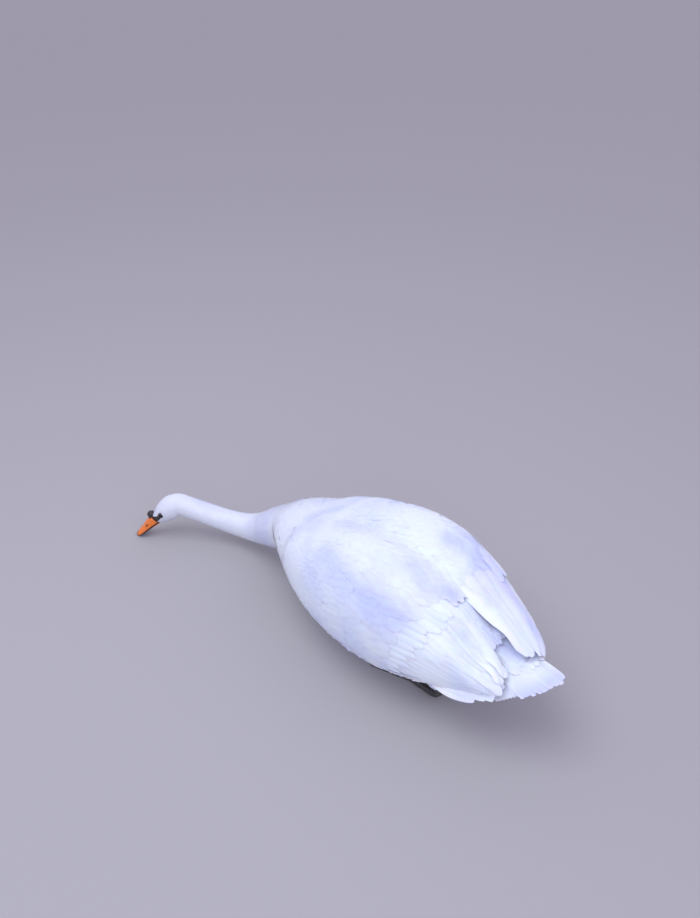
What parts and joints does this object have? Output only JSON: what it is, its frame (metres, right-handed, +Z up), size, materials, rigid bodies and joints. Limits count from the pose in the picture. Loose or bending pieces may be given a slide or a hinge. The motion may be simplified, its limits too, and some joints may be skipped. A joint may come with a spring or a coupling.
{
  "type": "mute swan",
  "caption": "Life-size mute swan resting on its belly, wings folded, neck reached out low to one side with the bill tip down on the ground.",
  "frame": {"origin": "on the ground, at the middle of the flat of the belly", "axes": "+X from the tail to the breast, +Y to the bird's left, +Z up"},
  "size_m": [1.2535, 0.4131, 0.3389],
  "materials": {
    "plumage": "soft white contour feathers with a cool lavender shade",
    "flight_feathers": "firm white vanes with a faint sheen",
    "eye": "wet, very dark brown",
    "bill_orange": "satin horn, orange-red",
    "bill_black": "satin black horn and bare skin",
    "leg_skin": "dull dark grey scaly skin"
  },
  "bodies": {
    "root": {"bill_knob": "bill_black", "bill_lower": "bill_black", "bill_upper": "bill_orange", "breast": "plumage", "eye_left": "eye", "eye_right": "eye", "foot_left": "leg_skin", "foot_right": "leg_skin", "head": "plumage", "leg_left": "leg_skin", "leg_right": "leg_skin", "neck_lower": "plumage", "neck_middle": "plumage", "neck_upper": "plumage", "primaries_left": "flight_feathers", "primaries_right": "flight_feathers", "tail": "flight_feathers", "trunk": "plumage", "wing_left": "plumage", "wing_right": "plumage"}
  },
  "joints": []
}
